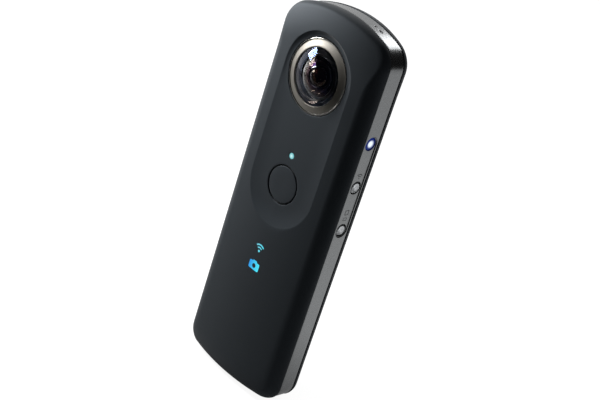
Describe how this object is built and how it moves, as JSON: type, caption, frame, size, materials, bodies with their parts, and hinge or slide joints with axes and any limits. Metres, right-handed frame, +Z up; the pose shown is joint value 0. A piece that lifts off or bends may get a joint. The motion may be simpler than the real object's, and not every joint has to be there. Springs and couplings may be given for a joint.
{
  "type": "360 degree camera",
  "caption": "Slim upright 360 degree camera with a dome lens on each broad face, a round shutter button, side buttons and a tripod socket in its base.",
  "frame": {"origin": "middle of the base, where the tripod bush stands on a flat surface", "axes": "+Z up the body to its arched top, -Y out of the shutter face, +X out of the side with the buttons"},
  "size_m": [0.044, 0.0228, 0.13],
  "materials": {
    "charcoal_plastic": "soft matt",
    "satin_band": "satin metallic",
    "nickel_steel": "satin",
    "satin_ring": "satin",
    "dome_glass": "polished",
    "inner_glass": "coated",
    "prism_glass": "polished",
    "lit_button": "lit",
    "button_metal": "turned",
    "black_barrel": "matt",
    "seal_rubber": "matt",
    "sensor_face": "gloss",
    "circuit_board": "solder mask",
    "flex_cable": "satin",
    "screw_steel": "plated",
    "cast_alloy": "cast",
    "switch_steel": "satin",
    "lamp_cyan": "lit",
    "lamp_blue": "lit",
    "led_package": "gloss",
    "chip_black": "matt",
    "shield_tin": "tinned",
    "heat_pad_blue": "matt",
    "sheet_alloy": "sheet",
    "battery_wrap": "film",
    "gold_can": "plated"
  },
  "bodies": {
    "camera_body": {"front_cover": "charcoal_plastic", "rear_cover": "charcoal_plastic", "side_frame": "satin_band", "tripod_bush": "nickel_steel", "front_lens_ring": "satin_ring", "rear_lens_ring": "satin_ring", "front_dome_lens": "dome_glass", "rear_dome_lens": "dome_glass", "data_socket": "nickel_steel", "video_socket": "nickel_steel", "front_second_lens": "inner_glass", "rear_second_lens": "inner_glass", "front_third_lens": "inner_glass", "rear_third_lens": "inner_glass", "front_lens_barrel": "black_barrel", "rear_lens_barrel": "black_barrel", "front_lens_seal": "seal_rubber", "rear_lens_seal": "seal_rubber", "front_prism": "prism_glass", "rear_prism": "prism_glass", "front_relay_lens": "prism_glass", "rear_relay_lens": "prism_glass", "front_image_sensor": "sensor_face", "rear_image_sensor": "sensor_face", "front_sensor_board": "circuit_board", "rear_sensor_board": "circuit_board", "front_sensor_flex": "flex_cable", "rear_sensor_flex": "flex_cable", "sensor_screws": "screw_steel", "lens_chassis": "cast_alloy", "shutter_switch": "switch_steel", "status_light_guide": "lamp_cyan", "wireless_light_guide": "lamp_blue", "mode_light_guide": "lamp_blue", "indicator_leds": "led_package", "side_key_board": "circuit_board", "side_key_switches": "switch_steel", "main_board": "circuit_board", "processor": "chip_black", "memory_chip": "chip_black", "shield_can": "shield_tin", "heat_pad": "heat_pad_blue", "board_screws": "screw_steel", "mid_plate": "sheet_alloy", "frame_screws": "screw_steel", "battery_pack": "battery_wrap", "speaker": "chip_black", "microphone": "gold_can", "microphone_seal": "seal_rubber", "antenna": "flex_cable"},
    "shutter": {"shutter_button": "charcoal_plastic"},
    "power_key": {"power_button": "lit_button"},
    "wireless_key": {"wireless_button": "button_metal"},
    "mode_key": {"mode_button": "button_metal"}
  },
  "joints": [
    {"name": "shutter_press", "type": "slide", "parent": "camera_body", "child": "shutter", "axis": [0, 1, 0], "range_m": [0, 0.00035], "stiffness_N_per_m": 2000},
    {"name": "power_press", "type": "slide", "parent": "camera_body", "child": "power_key", "axis": [-1, 0, 0], "range_m": [0, 0.0003], "stiffness_N_per_m": 2000},
    {"name": "wireless_press", "type": "slide", "parent": "camera_body", "child": "wireless_key", "axis": [-1, 0, 0], "range_m": [0, 0.0003], "stiffness_N_per_m": 2000},
    {"name": "mode_press", "type": "slide", "parent": "camera_body", "child": "mode_key", "axis": [-1, 0, 0], "range_m": [0, 0.0003], "stiffness_N_per_m": 2000}
  ]
}
